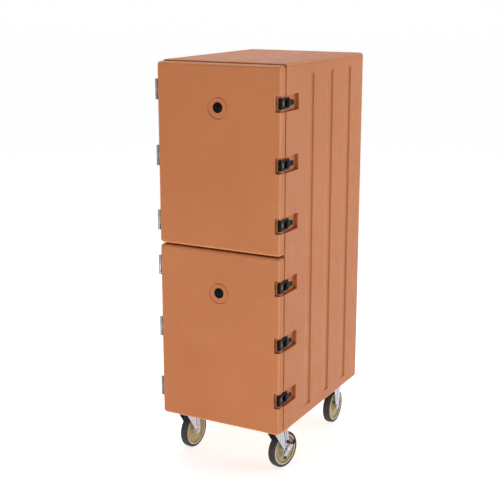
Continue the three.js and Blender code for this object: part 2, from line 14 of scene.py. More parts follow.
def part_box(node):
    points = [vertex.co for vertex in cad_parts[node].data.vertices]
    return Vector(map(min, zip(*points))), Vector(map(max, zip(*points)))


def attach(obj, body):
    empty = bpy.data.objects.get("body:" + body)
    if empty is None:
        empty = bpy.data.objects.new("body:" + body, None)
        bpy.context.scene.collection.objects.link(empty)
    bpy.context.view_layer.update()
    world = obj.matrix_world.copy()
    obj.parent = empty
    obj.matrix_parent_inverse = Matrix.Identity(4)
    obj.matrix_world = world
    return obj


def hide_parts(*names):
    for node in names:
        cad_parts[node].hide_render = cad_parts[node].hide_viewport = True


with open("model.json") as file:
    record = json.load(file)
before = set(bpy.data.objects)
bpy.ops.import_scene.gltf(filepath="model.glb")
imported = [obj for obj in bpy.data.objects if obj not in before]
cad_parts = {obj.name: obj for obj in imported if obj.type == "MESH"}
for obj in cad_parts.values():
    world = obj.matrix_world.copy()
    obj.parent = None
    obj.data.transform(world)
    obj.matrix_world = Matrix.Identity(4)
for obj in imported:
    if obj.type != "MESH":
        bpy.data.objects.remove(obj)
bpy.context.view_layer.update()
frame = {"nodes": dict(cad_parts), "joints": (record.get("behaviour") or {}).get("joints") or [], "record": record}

MM = 0.001
JOINTS = {joint["name"]: joint for joint in frame["joints"]}
FINGERS = (1, 2, 3)
DOORS = ("upper", "lower")


# ---------------------------------------------------------------- places from the frame

def box_mm(node):
    """Lowest and highest corner of a CAD node, in millimetres."""
    low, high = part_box(node)
    return low / MM, high / MM


def joint_mm(name):
    """A joint's point, in millimetres."""
    return Vector(JOINTS[name]["pos_m"]) / MM


BODY_LOW, BODY_HIGH = box_mm("cabinet_shell")
DOOR_FRONT = box_mm("upper_door_shell")[0].y
MIDDLE_X = (BODY_LOW.x + BODY_HIGH.x) / 2
RIGHT = BODY_HIGH.x
LEFT = BODY_LOW.x


# ---------------------------------------------------------------- mesh tools

def arc_steps(steps):
    """Angles from 0 to a right angle."""
    return [i / steps * math.pi / 2 for i in range(steps + 1)]


def soft(t):
    """A smooth step from 0 to 1."""
    t = min(max(t, 0.0), 1.0)
    return t * t * (3 - 2 * t)


def rounded_rect(u0, u1, v0, v1, radius, steps=6):
    """Points round a rectangle with round corners, anticlockwise."""
    radius = max(0.2, min(radius, (u1 - u0) / 2 - 0.01, (v1 - v0) / 2 - 0.01))
    corners = ((u1, v1, 0), (u0, v1, 1), (u0, v0, 2), (u1, v0, 3))
    points = []
    for u, v, quarter in corners:
        cu = u - math.copysign(radius, u - (u0 + u1) / 2)
        cv = v - math.copysign(radius, v - (v0 + v1) / 2)
        for angle in arc_steps(steps):
            turn = angle + quarter * math.pi / 2
            points.append((cu + radius * math.cos(turn), cv + radius * math.sin(turn)))
    return points


def grown(rect, by):
    """A rectangle (u0, u1, v0, v1) moved out by the same amount on every side."""
    u0, u1, v0, v1 = rect
    return (u0 - by, u1 + by, v0 - by, v1 + by)


AXIS_POINT = {
    "x": lambda along, u, v: (along, u, v),
    "y": lambda along, u, v: (u, along, v),
    "z": lambda along, u, v: (u, v, along),
}


def loft(rings):
    """A closed mesh through rings with equal numbers of points, with a face over each end."""
    bm = bmesh.new()
    rows = [[bm.verts.new(point) for point in ring] for ring in rings]
    for low, high in zip(rows, rows[1:]):
        for i, vert in enumerate(low):
            j = (i + 1) % len(low)
            bm.faces.new((vert, low[j], high[j], high[i]))
    bm.faces.new(rows[0])
    bm.faces.new(rows[-1])
    bmesh.ops.recalc_face_normals(bm, faces=bm.faces)
    return bm


def rect_loft(axis, rect, radius, stations, steps=6):
    """A rounded rectangle (u0, u1, v0, v1) drawn along an axis through (place, grow) stations."""
    to_point = AXIS_POINT[axis]
    rings = []
    for along, grow in stations:
        outline = rounded_rect(*grown(rect, grow), radius + grow, steps)
        rings.append([to_point(along, u, v) for u, v in outline])
    return loft(rings)


def rounded_ends(start, end, start_radius, end_radius, steps=6):
    """Stations of a block whose two ends have round edges."""
    arcs = arc_steps(steps)
    head = [(start + start_radius * (1 - math.sin(a)), -start_radius * (1 - math.cos(a))) for a in arcs]
    tail = [(end - end_radius * (1 - math.sin(a)), -end_radius * (1 - math.cos(a))) for a in arcs]
    return head[::-1] + tail


def recess_stations(floor, face, fillet, flare, steps=5):
    """Stations of a cutter from a recess's filleted floor out through a face with a round lip."""
    out = math.copysign(1, face - floor)
    arcs = arc_steps(steps)
    low = [(floor + out * fillet * (1 - math.cos(a)), -fillet * (1 - math.sin(a))) for a in arcs]
    lip = face + out * 0.05
    high = [(lip - out * flare * (1 - math.cos(a)), flare * (1 - math.sin(a))) for a in arcs]
    return low + high[::-1] + [(face + out * 4, flare)]


def slab(x0, x1, y0, y1, z0, z1, edge=0.6, steps=2):
    """A block with round edges."""
    bm = bmesh.new()
    bmesh.ops.create_cube(bm, size=1)
    centre = Vector(((x0 + x1) / 2, (y0 + y1) / 2, (z0 + z1) / 2))
    bmesh.ops.scale(bm, vec=(x1 - x0, y1 - y0, z1 - z0), verts=bm.verts)
    bmesh.ops.translate(bm, vec=centre, verts=bm.verts)
    if edge:
        bmesh.ops.bevel(bm, geom=bm.edges[:], offset=edge, segments=steps, profile=0.5, affect="EDGES")
    return bm


def outline_plate(axis, points, start, end, edge=0.6):
    """A flat plate of any outline, with its two rims rounded."""
    to_point = AXIS_POINT[axis]
    bm = loft([[to_point(along, u, v) for u, v in points] for along in (start, end)])
    if edge:
        rims = [e for f in bm.faces if len(f.verts) == len(points) and len(points) > 4 for e in f.edges]
        bmesh.ops.bevel(bm, geom=list(set(rims)), offset=edge, segments=2, profile=0.5, affect="EDGES")
    return bm


def turned(axis, profile, sides=48, centre=(0, 0, 0)):
    """A solid of revolution of a profile of (radius, distance along the axis) points.

    The profile starts and ends on the axis, or closes on itself.
    """
    bm = bmesh.new()
    ring = []
    for i in range(sides):
        angle = 2 * math.pi * i / sides
        row = []
        for radius, along in profile:
            u, v = radius * math.cos(angle), radius * math.sin(angle)
            row.append(bm.verts.new(Vector(centre) + Vector(AXIS_POINT[axis](along, u, v))))
        ring.append(row)
    for i, row in enumerate(ring):
        other = ring[(i + 1) % sides]
        for j in range(len(profile) - 1):
            bm.faces.new((row[j], row[j + 1], other[j + 1], other[j]))
    bmesh.ops.remove_doubles(bm, verts=bm.verts, dist=1e-4)
    bmesh.ops.recalc_face_normals(bm, faces=bm.faces)
    return bm


def pin(axis, radius, start, end, centre=(0, 0, 0), edge=0.5, sides=24):
    """A round bar with chamfered ends."""
    profile = [(0, start), (radius - edge, start), (radius, start + edge)]
    profile += [(radius, end - edge), (radius - edge, end), (0, end)]
    return turned(axis, profile, sides, centre)


def gathered(meshes):
    """One mesh that holds several, without joining them."""
    whole = bmesh.new()
    for bm in meshes:
        mesh = bpy.data.meshes.new("temporary")
        bm.to_mesh(mesh)
        bm.free()
        whole.from_mesh(mesh)
        bpy.data.meshes.remove(mesh)
    return whole


def temporary_object(bm):
    """A scene object that holds a mesh for as long as a boolean needs it."""
    mesh = bpy.data.meshes.new("temporary")
    bm.to_mesh(mesh)
    bm.free()
    obj = bpy.data.objects.new("temporary", mesh)
    bpy.context.scene.collection.objects.link(obj)
    return obj


def combine(target, tools, operation):
    """A boolean of one mesh with others, one after another."""
    body = temporary_object(target)
    helpers = [temporary_object(tool) for tool in tools]
    for helper in helpers:
        step = body.modifiers.new("step", "BOOLEAN")
        step.operation = operation
        step.solver = "MANIFOLD"
        step.object = helper
    result = bmesh.new()
    result.from_object(body, bpy.context.evaluated_depsgraph_get())
    for obj in [body, *helpers]:
        mesh = obj.data
        bpy.data.objects.remove(obj)
        bpy.data.meshes.remove(mesh)
    bmesh.ops.remove_doubles(result, verts=result.verts, dist=1e-4)
    return result


def cut(target, *tools):
    return combine(target, tools, "DIFFERENCE")


def join(target, *tools):
    return combine(target, tools, "UNION")


def mirror_x(bm, about):
    """The same mesh reflected in a plane across X."""
    copy = bm.copy()
    bmesh.ops.scale(copy, vec=(-1, 1, 1), space=Matrix.Translation((-about, 0, 0)), verts=copy.verts)
    bmesh.ops.reverse_faces(copy, faces=copy.faces)
    return copy


# ---------------------------------------------------------------- pieces

SHARP = math.radians(34)


def piece(name, bm, body, look, slot, nodes=(), at=(0, 0, 0), turn=0.0, flat=True):
    """A finished piece: in metres, smooth but for its sharp edges, with its material and its body."""
    mesh = bpy.data.meshes.new(name)
    bm.to_mesh(mesh)
    mesh.transform(Matrix.Scale(MM, 4))
    mesh.polygons.foreach_set("use_smooth", [True] * len(mesh.polygons))
    mesh.set_sharp_from_angle(angle=SHARP)
    mesh.materials.append(look)
    obj = bpy.data.objects.new(name, mesh)
    obj.location = Vector(at) * MM
    obj.rotation_euler = (0, 0, turn)
    bpy.context.scene.collection.objects.link(obj)
    if flat:
        weighted = obj.modifiers.new("flat_faces", "WEIGHTED_NORMAL")
        weighted.keep_sharp = True
    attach(obj, body)
    if nodes:
        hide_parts(*nodes)
    return obj


# ---------------------------------------------------------------- materials

class Look:
    """A procedural material being built: a node tree round one Principled shader."""

    def __init__(self, name, color, roughness, metallic=0.0):
        self.material = bpy.data.materials.new(name)
        self.material.use_nodes = True
        self.nodes = self.material.node_tree.nodes
        self.links = self.material.node_tree.links
        self.shader = self.nodes["Principled BSDF"]
        self.shader.inputs["Base Color"].default_value = (*color, 1)
        self.shader.inputs["Roughness"].default_value = roughness
        self.shader.inputs["Metallic"].default_value = metallic
        self.place = self.nodes.new("ShaderNodeTexCoord").outputs["Object"]
        self.normal = None

    def stretched(self, scale):
        """Object coordinates with a different scale along each axis."""
        mapping = self.nodes.new("ShaderNodeMapping")
        mapping.inputs["Scale"].default_value = scale
        self.links.new(self.place, mapping.inputs["Vector"])
        return mapping.outputs["Vector"]

    def noise(self, scale, detail=3.0, vector=None, distortion=0.0):
        node = self.nodes.new("ShaderNodeTexNoise")
        node.inputs["Scale"].default_value = scale
        node.inputs["Detail"].default_value = detail
        node.inputs["Distortion"].default_value = distortion
        self.links.new(vector or self.place, node.inputs["Vector"])
        return node.outputs["Fac"]

    def cells(self, scale, feature="F1"):
        node = self.nodes.new("ShaderNodeTexVoronoi")
        node.feature = feature
        node.inputs["Scale"].default_value = scale
        self.links.new(self.place, node.inputs["Vector"])
        return node.outputs["Distance"]

    def ramp(self, value, *stops):
        """A colour ramp of (position, colour) stops."""
        node = self.nodes.new("ShaderNodeValToRGB")
        ramp = node.color_ramp
        while len(ramp.elements) < len(stops):
            ramp.elements.new(0.5)
        for element, (position, color) in zip(ramp.elements, stops):
            element.position = position
            element.color = (*color, 1)
        self.links.new(value, node.inputs["Fac"])
        return node.outputs["Color"]

    def between(self, value, low, high, start=0.3, end=0.7):
        """A number that follows a pattern between two limits."""
        node = self.nodes.new("ShaderNodeMapRange")
        node.inputs["From Min"].default_value = start
        node.inputs["From Max"].default_value = end
        node.inputs["To Min"].default_value = low
        node.inputs["To Max"].default_value = high
        self.links.new(value, node.inputs["Value"])
        return node.outputs["Result"]

    def mix(self, factor, first, second, blend="MIX"):
        node = self.nodes.new("ShaderNodeMix")
        node.data_type = "RGBA"
        node.blend_type = blend
        for socket, value in ((node.inputs[0], factor), (node.inputs[6], first), (node.inputs[7], second)):
            if isinstance(value, (int, float)):
                socket.default_value = value
            elif isinstance(value, tuple):
                socket.default_value = (*value, 1)
            else:
                self.links.new(value, socket)
        return node.outputs[2]

    def math(self, operation, first, second=None):
        node = self.nodes.new("ShaderNodeMath")
        node.operation = operation
        for socket, value in zip(node.inputs, (first, second)):
            if isinstance(value, (int, float)):
                socket.default_value = value
            elif value:
                self.links.new(value, socket)
        return node.outputs["Value"]

    def bulge(self, start, end):
        """How far a point stands out from its neighbours."""
        geometry = self.nodes.new("ShaderNodeNewGeometry")
        return self.between(geometry.outputs["Pointiness"], 0.0, 1.0, start, end)

    def rounded_edges(self):
        """1 on a box-like piece's round outer edges and 0 on its flat faces."""
        normal = self.nodes.new("ShaderNodeTexCoord").outputs["Normal"]
        split = self.nodes.new("ShaderNodeSeparateXYZ")
        self.links.new(normal, split.inputs["Vector"])
        x, y, z = (self.math("ABSOLUTE", split.outputs[i]) for i in range(3))
        largest = self.math("MAXIMUM", self.math("MAXIMUM", x, y), z)
        tilt = self.between(largest, 1.0, 0.0, 0.78, 0.98)
        return self.math("MULTIPLY", tilt, self.bulge(0.502, 0.512))

    def color(self, output):
        self.links.new(output, self.shader.inputs["Base Color"])

    def roughness(self, output):
        self.links.new(output, self.shader.inputs["Roughness"])

    def bump(self, height, strength, distance):
        node = self.nodes.new("ShaderNodeBump")
        node.inputs["Strength"].default_value = strength
        node.inputs["Distance"].default_value = distance
        self.links.new(height, node.inputs["Height"])
        if self.normal:
            self.links.new(self.normal, node.inputs["Normal"])
        self.normal = node.outputs["Normal"]
        self.links.new(self.normal, self.shader.inputs["Normal"])


def moulded_plastic():
    """Rotomoulded polyethylene: fine pebbles, faint waves, slight mottling, scuffs, and paler round edges that are
    partly edge wear and partly a painted highlight.
    """
    look = Look("moulded_plastic", (0.47, 0.156, 0.050), 0.48)
    look.shader.inputs["Specular IOR Level"].default_value = 0.3
    broad = look.ramp(look.noise(2.2, 2.0), (0.3, (0.450, 0.144, 0.045)), (0.7, (0.490, 0.166, 0.055)))
    speckle = look.ramp(look.noise(420.0, 2.0), (0.35, (0.93, 0.93, 0.93)), (0.65, (1.05, 1.05, 1.05)))
    base = look.mix(1.0, broad, speckle, "MULTIPLY")
    smudge = look.between(look.noise(7.0, 5.0, distortion=0.6), 0.0, 0.16, 0.56, 0.74)
    scuffed = look.mix(smudge, base, (0.56, 0.22, 0.11))
    # Painted highlight and wear: round outer edges are painted paler, partly for the light caught on the roundings
    # and partly for rubbed wear.
    edge_wear_and_highlight = look.math("MULTIPLY", look.rounded_edges(), look.between(look.noise(34.0, 5.0), 0.5, 0.95))
    look.color(look.mix(edge_wear_and_highlight, scuffed, (0.63, 0.28, 0.12)))
    look.roughness(look.between(look.noise(16.0, 4.0), 0.42, 0.56))
    look.bump(look.noise(7.0, 1.0), 0.05, 0.004)
    look.bump(look.noise(520.0, 3.0), 0.16, 0.0006)
    return look.material


def nylon():
    """Black glass-filled nylon, satin, with a faint grain."""
    look = Look("black_nylon", (0.003, 0.003, 0.004), 0.42)
    look.shader.inputs["Specular IOR Level"].default_value = 0.07
    look.color(look.ramp(look.noise(60.0), (0.3, (0.0015, 0.0015, 0.002)), (0.7, (0.004, 0.0045, 0.006))))
    look.roughness(look.between(look.noise(180.0, 4.0), 0.24, 0.36))
    look.bump(look.noise(900.0), 0.12, 0.0003)
    return look.material


def stainless_steel():
    """Satin stainless steel with a vertical grain."""
    look = Look("stainless_steel", (0.22, 0.23, 0.24), 0.36, 1.0)
    grain = look.noise(900.0, 3.0, look.stretched((1.0, 1.0, 0.04)))
    look.color(look.ramp(look.noise(30.0), (0.3, (0.19, 0.20, 0.21)), (0.7, (0.26, 0.27, 0.28))))
    look.roughness(look.between(grain, 0.28, 0.46))
    look.bump(grain, 0.10, 0.0002)
    return look.material


def zinc_plate():
    """Bright zinc plating: a cool sheen with soft blotches."""
    look = Look("zinc_plate", (0.52, 0.54, 0.60), 0.26, 1.0)
    blotches = look.noise(55.0, 4.0, distortion=0.4)
    look.color(look.ramp(blotches, (0.3, (0.46, 0.48, 0.54)), (0.7, (0.56, 0.58, 0.64))))
    look.roughness(look.between(look.noise(120.0, 4.0), 0.20, 0.34))
    look.bump(look.noise(260.0), 0.03, 0.0003)
    return look.material


def tyre_rubber():
    """Grey-black tread rubber, dusty on its high spots."""
    look = Look("tyre_rubber", (0.030, 0.029, 0.032), 0.62)
    look.shader.inputs["Specular IOR Level"].default_value = 0.3
    dust = look.noise(38.0, 5.0)
    look.color(look.ramp(dust, (0.35, (0.020, 0.019, 0.022)), (0.75, (0.048, 0.046, 0.050))))
    look.roughness(look.between(dust, 0.5, 0.78))
    look.bump(look.noise(700.0), 0.15, 0.0004)
    return look.material


def black_rubber():
    """Soft black rubber of the door seals and brake pads."""
    look = Look("black_rubber", (0.020, 0.020, 0.021), 0.7)
    look.color(look.ramp(look.noise(90.0), (0.3, (0.014, 0.014, 0.015)), (0.7, (0.035, 0.035, 0.036))))
    look.roughness(look.between(look.noise(300.0), 0.58, 0.8))
    look.bump(look.noise(1100.0), 0.12, 0.0003)
    return look.material


def core_plastic():
    """The wheels' khaki moulded cores, a little mottled, with paler convex rims and steps that are partly wear and
    partly a painted highlight.
    """
    look = Look("core_plastic", (0.34, 0.27, 0.13), 0.45)
    mottle = look.ramp(look.noise(45.0, 4.0), (0.3, (0.290, 0.225, 0.105)), (0.7, (0.400, 0.325, 0.165)))
    # Painted highlight and wear: convex rims and steps are painted paler where their pointiness is high.
    look.color(look.mix(look.bulge(0.51, 0.56), mottle, (0.55, 0.48, 0.30)))
    look.roughness(look.between(look.noise(140.0), 0.36, 0.55))
    look.bump(look.noise(420.0), 0.10, 0.0003)
    return look.material


def foam():
    """Cream closed-cell foam, seen only when the skins are taken apart."""
    look = Look("core_foam", (0.75, 0.66, 0.38), 0.9)
    cells = look.cells(600.0)
    look.color(look.ramp(cells, (0.2, (0.78, 0.69, 0.41)), (0.8, (0.62, 0.52, 0.28))))
    look.bump(cells, 0.3, 0.0006)
    return look.material


MOULDED = moulded_plastic()
NYLON = nylon()
STAINLESS = stainless_steel()
ZINC = zinc_plate()
TYRE = tyre_rubber()
RUBBER = black_rubber()
CORE = core_plastic()
FOAM = foam()

LOOK_OF_SLOT = {
    "moulded": MOULDED,
    "foam": FOAM,
    "seal": RUBBER,
    "tyre": TYRE,
    "nylon": NYLON,
    "stainless": STAINLESS,
    "zinc": ZINC,
    "wheel_core": CORE,
}


def dress_cad_nodes():
    """Gives every CAD node its slot's material."""
    for row in frame["record"]["subparts"]:
        mesh = frame["nodes"][row["node"]].data
        mesh.materials.clear()
        mesh.materials.append(LOOK_OF_SLOT[row["material_slot"]])


# ---------------------------------------------------------------- cabinet

CORNER = 14.0
EDGE = 12.0
SEAM_EDGE = 5.0
WALL = 42.0
END_WALL = 45.0
DIVIDER = 70.0
CAVITY_REAR_WALL = 45.0
CAVITY_CORNER = 12.0
LEDGE_COUNT = 8
LEDGE_REACH = 15.0
LEDGE_THICKNESS = 12.0
LEDGE_FIRST = 62.0
LEDGE_PITCH = 74.0
LEDGE_START = 48.0
LEDGE_ROOT = 6.0
CHANNEL_DEPTH = 7.0
CHANNEL_WIDTH = 67.0
CHANNEL_STEP = 5.0
CHANNEL_END_GAP = 46.0
CHANNEL_REAR_EDGES = (287.0, 468.0, 649.0)
CUTTER_LIFT = 0.25
REACH_PAST = 20.0
POCKET_HALF = 31.0
POCKET_DEPTH = 17.0
POCKET_END = 147.0
LUG_TOP = 4.8
HINGE_RECESS = 2.0
HINGE_RECESS_HALF = 44.0
HINGE_RECESS_END = 106.0
CAVITY_HEIGHT = (BODY_HIGH.z - BODY_LOW.z - 2 * END_WALL - DIVIDER) / 2
CAVITY_Z = {
    "upper": BODY_HIGH.z - END_WALL - CAVITY_HEIGHT,
    "lower": BODY_LOW.z + END_WALL,
}


def latch_names(door):
    return [f"{door}_latch_{i}" for i in FINGERS]


def hinge_names(door):
    return [f"{door}_hinge_{i}" for i in FINGERS]


def latch_heights(door):
    return [joint_mm(f"{name}_lever_pivot").z for name in latch_names(door)]


def hinge_heights(door):
    boxes = [box_mm(f"{name}_door_leaf") for name in hinge_names(door)]
    return [(low.z + high.z) / 2 for low, high in boxes]


def compartment(door):
    """Cutter for a compartment: round corners, a round lip at its mouth, and side ledges left standing."""
    floor = CAVITY_Z[door]
    left, right = LEFT + WALL, RIGHT - WALL
    rect = (left, right, floor, floor + CAVITY_HEIGHT)
    back = BODY_HIGH.y - CAVITY_REAR_WALL
    room = rect_loft("y", rect, CAVITY_CORNER, recess_stations(back, BODY_LOW.y, 10, 3))
    front, rear = BODY_LOW.y + LEDGE_START, back + LEDGE_ROOT
    ledges = []
    for i in range(LEDGE_COUNT):
        bottom = floor + LEDGE_FIRST + i * LEDGE_PITCH
        top = bottom + LEDGE_THICKNESS
        ledges.append(slab(left - LEDGE_ROOT, left + LEDGE_REACH, front, rear, bottom, top, 3, 3))
        ledges.append(slab(right - LEDGE_REACH, right + LEDGE_ROOT, front, rear, bottom, top, 3, 3))
    return cut(room, gathered(ledges))


def channel_depth(y, z, rear, low, high):
    """Depth of a side channel: a long ramp inward to the rear, a steep soft step out, and soft ends."""
    start = rear - CHANNEL_WIDTH
    ramp = min(max((y - start) / (CHANNEL_WIDTH - CHANNEL_STEP - 2), 0.0), 1.0)
    step = soft((rear - y) / CHANNEL_STEP)
    ends = soft((z - low) / CHANNEL_STEP) * soft((high - z) / CHANNEL_STEP)
    return CHANNEL_DEPTH * (ramp * step * ends)


def channel(rear_edge):
    """Cutter for one channel in the right side wall."""
    rear = DOOR_FRONT + rear_edge
    low, high = BODY_LOW.z + CHANNEL_END_GAP, BODY_HIGH.z - CHANNEL_END_GAP
    ramp_ys = [rear - CHANNEL_WIDTH + t for t in (-1, 0, 2, 6, 14, 26, 38, 48)]
    ys = ramp_ys + [rear - 14 + t for t in (0, 2, 4, 6)] + [rear - 7 + t * 0.75 for t in range(11)]
    near = [0, 0.75, 1.5, 2.25, 3, 3.75, 4.5, 5.25, 6, 7, 10]
    zs = [low - 1] + [low + t for t in near] + [high - t for t in reversed(near)] + [high + 1]
    outside = RIGHT + 3
    bm = bmesh.new()
    inner = []
    for z in zs:
        row = []
        for y in ys:
            depth = channel_depth(y, z, rear, low, high)
            lift = CUTTER_LIFT if depth < 0.02 else 0.0
            row.append(bm.verts.new((RIGHT - depth + lift, y, z)))
        inner.append(row)
    for row, above in zip(inner, inner[1:]):
        for j in range(len(ys) - 1):
            bm.faces.new((row[j], row[j + 1], above[j + 1], above[j]))
    rim = inner[0] + [row[-1] for row in inner[1:]] + inner[-1][-2::-1] + [row[0] for row in inner[-2:0:-1]]
    outer = [bm.verts.new((outside, vert.co.y, vert.co.z)) for vert in rim]
    for i, vert in enumerate(rim):
        j = (i + 1) % len(rim)
        bm.faces.new((vert, rim[j], outer[j], outer[i]))
    bm.faces.new(outer)
    bmesh.ops.recalc_face_normals(bm, faces=bm.faces)
    return bm


def cabinet_pocket(z):
    """Cutter for the finger pocket behind a latch, open towards the door."""
    rect = (BODY_LOW.y - REACH_PAST, DOOR_FRONT + POCKET_END, z - POCKET_HALF, z + POCKET_HALF)
    return rect_loft("x", rect, 5, recess_stations(RIGHT - POCKET_DEPTH, RIGHT, 3, 3))


def hinge_recess(y0, y1, z):
    rect = (y0, y1, z - HINGE_RECESS_HALF, z + HINGE_RECESS_HALF)
    return rect_loft("x", rect, 4, recess_stations(LEFT + HINGE_RECESS, LEFT, 0.8, 0.8, 3), 4)


def build_cabinet():
    rect = (LEFT, RIGHT, BODY_LOW.z, BODY_HIGH.z)
    shell = rect_loft("y", rect, CORNER, rounded_ends(BODY_LOW.y, BODY_HIGH.y, SEAM_EDGE, EDGE, 8), 8)
    pockets = [cabinet_pocket(z) for door in DOORS for z in latch_heights(door)]
    recess_ys = (BODY_LOW.y - REACH_PAST, DOOR_FRONT + HINGE_RECESS_END)
    recesses = [hinge_recess(*recess_ys, z) for door in DOORS for z in hinge_heights(door)]
    channels = []
    for rear_edge in CHANNEL_REAR_EDGES:
        right_side = channel(rear_edge)
        channels += [mirror_x(right_side, MIDDLE_X), right_side]
    rooms = [compartment(door) for door in DOORS]
    shell = cut(shell, *[gathered(cutters) for cutters in (rooms, pockets, recesses, channels)])
    piece("cabinet_skin", shell, "cabinet", MOULDED, "moulded", ["cabinet_shell"])


# ---------------------------------------------------------------- doors

PLUG_CLEARANCE = 4.0
PLUG_TAPER = 4.0
DOOR_POCKET_IN = 28.0
DOOR_POCKET_DEPTH = 15.0
RIDGE = 11.0
VENT_BORE = 11.0
GROOVE_RADIUS = 41.2
GROOVE_HALF_WIDTH = 4.2
GROOVE_DEPTH = 3.8
GROOVE_LIFT = 0.4
GASKET_WIDTH = 9.0
GASKET_OFFSET = 7.0
GASKET_GROOVE = 4.0


def door_pockets(door, back, edge):
    """Cutters for the latch pockets in the door's free edge: the front mouth and the side passage."""
    mouth = recess_stations(DOOR_FRONT + DOOR_POCKET_DEPTH, DOOR_FRONT, 2.5, 3)
    side = recess_stations(RIGHT - RIDGE, edge, 2.5, 3)
    mouths, sides = [], []
    for z in latch_heights(door):
        low, high = z - POCKET_HALF, z + POCKET_HALF
        mouths.append(rect_loft("y", (RIGHT - DOOR_POCKET_IN, RIGHT + REACH_PAST, low, high), 4, mouth))
        sides.append(rect_loft("x", (DOOR_FRONT - REACH_PAST, back + REACH_PAST, low, high), 4, side))
    return gathered(mouths), gathered(sides)


def ring_cutter(rect, corner, y0, y1):
    """A rectangular groove round the plug, cut into the door's inner face."""
    far = GASKET_OFFSET + GASKET_WIDTH
    outer = rect_loft("y", grown(rect, far), corner, [(y0, 0), (y1, 0)], 8)
    inner = rect_loft("y", grown(rect, GASKET_OFFSET), corner, [(y0 - 1, 0), (y1 + 1, 0)], 8)
    return cut(outer, inner)


def vent_bore(centre, inner_face):
    """Cutter for the vent's hole right through the door."""
    start, end = DOOR_FRONT - 9, inner_face + 9
    return turned("y", [(0, start), (VENT_BORE, start), (VENT_BORE, end), (0, end)], 48, centre)


def vent_groove(centre):
    """Cutter for the round groove about the vent, an ellipse in section."""
    profile = []
    for i in range(17):
        angle = 2 * math.pi * i / 16
        radius = GROOVE_RADIUS + GROOVE_HALF_WIDTH * math.cos(angle)
        profile.append((radius, DOOR_FRONT - GROOVE_LIFT + GROOVE_DEPTH * math.sin(angle)))
    return turned("y", profile, 96, centre)


def door_plug(room, back, inner_face):
    """The tapered block on the door's inner face that fills a compartment's mouth."""
    nose = [(y, -PLUG_TAPER + grow) for y, grow in rounded_ends(inner_face - 12, inner_face, 0.1, 6)[7:]]
    return rect_loft("y", grown(room, -PLUG_CLEARANCE), CORNER, [(back - 1, 0), *nose], 8)


def catch_lug(z):
    """The lug on the door's ridge that stands in a latch hook's window."""
    return slab(RIGHT - RIDGE - 1, RIGHT - LUG_TOP, DOOR_FRONT + 18, DOOR_FRONT + 28, z - 9, z + 9, 1.2, 3)


def build_door(door):
    low, high = box_mm(f"{door}_door_shell")
    back = box_mm(f"{door}_door_gasket")[0].y - 0.3 + GASKET_GROOVE
    vent = joint_mm(f"{door}_vent_turn")
    rect = (LEFT, high.x, low.z, high.z)
    panel = rect_loft("y", rect, CORNER, rounded_ends(DOOR_FRONT, back, EDGE, SEAM_EDGE, 8), 8)
    room = (LEFT + WALL, RIGHT - WALL, CAVITY_Z[door], CAVITY_Z[door] + CAVITY_HEIGHT)
    mouths, sides = door_pockets(door, back, high.x)
    recess_ys = (DOOR_FRONT - REACH_PAST, back + REACH_PAST)
    recesses = gathered([hinge_recess(*recess_ys, z) for z in hinge_heights(door)])
    centre = (vent.x, 0, vent.z)
    bore = vent_bore(centre, high.y)
    groove = vent_groove(centre)
    seal_groove = ring_cutter(room, CORNER, back - GASKET_GROOVE, back + 1)
    shell = join(panel, door_plug(room, back, high.y))
    shell = cut(shell, mouths, sides, recesses, bore, groove, seal_groove)
    shell = join(shell, gathered([catch_lug(z) for z in latch_heights(door)]))
    piece(f"{door}_door_skin", shell, f"{door}_door", MOULDED, "moulded", [f"{door}_door_shell"])
    build_seal(door, room, back)
    build_vent(door, vent, high.y)


def build_seal(door, room, back):
    """The bulb seal in its groove: a flat foot and a rounded lip, swept round the door's plug."""
    low, high = box_mm(f"{door}_door_gasket")
    middle = GASKET_OFFSET + GASKET_WIDTH / 2
    half = GASKET_WIDTH / 2 - 0.5
    section = [(-half, low.y), (half, low.y), (half, back - 0.2)]
    section += [(3.4 * math.cos(a), back + (high.y - back) * math.sin(a)) for a in arc_steps(5)]
    section += [(-3.4 * math.sin(a), back + (high.y - back) * math.cos(a)) for a in arc_steps(5)[1:]]
    section += [(-half, back - 0.2)]
    rings = []
    for offset, y in section:
        grow = middle + offset
        outline = rounded_rect(*grown(room, grow), CORNER, 8)
        rings.append([(u, y, v) for u, v in outline])
    bm = bmesh.new()
    rows = [[bm.verts.new(point) for point in ring] for ring in rings]
    for row, other in zip(rows, rows[1:] + rows[:1]):
        for i, vert in enumerate(row):
            j = (i + 1) % len(row)
            bm.faces.new((vert, row[j], other[j], other[i]))
    bmesh.ops.recalc_face_normals(bm, faces=bm.faces)
    piece(f"{door}_bulb_seal", bm, f"{door}_door", RUBBER, "seal", [f"{door}_door_gasket"])


def build_vent(door, vent, inner_face):
    """The vent cap: a dished disc with a rim and a slotted boss, and a stem with a lip inside the door."""
    inside = inner_face - DOOR_FRONT
    boss = [(0, -4.8), (6.4, -4.8), (7.6, -4.2), (8.2, -2.6), (9.2, -2.2)]
    dish = [(10.4, -2.2), (11.2, -2.7), (12.6, -2.7), (13.4, -2.2), (14.6, -2.3)]
    rim = [(15.4, -3.9), (16.6, -4.6), (18.4, -4.4), (20, -3.4), (20.8, -2.2), (20.8, -0.9), (20.2, -0.3)]
    stem = [(10, -0.3), (10, inside + 0.3)]
    lip = [(13.6, inside + 0.3), (14, inside + 0.8), (12.4, inside + 3.4)]
    end = [(11.4, inside + 4), (0, inside + 4)]
    cap = turned("y", boss + dish + rim + stem + lip + end, 72)
    cap = cut(cap, slab(-5.6, 5.6, -7, -3.2, -1.1, 1.1, 0.3))
    at = (vent.x, DOOR_FRONT, vent.z)
    piece(f"{door}_vent_disc", cap, f"{door}_vent", NYLON, "nylon", [f"{door}_vent_cap"], at)


# ---------------------------------------------------------------- hinges

HINGE_HALF = 40.5
LEAF = 2.5
BARREL = 6.2
PIN_RADIUS = 3.0
PIN_HOLE = 3.3
KNUCKLE_GAP = 0.3
SEAT_GAP = 0.3


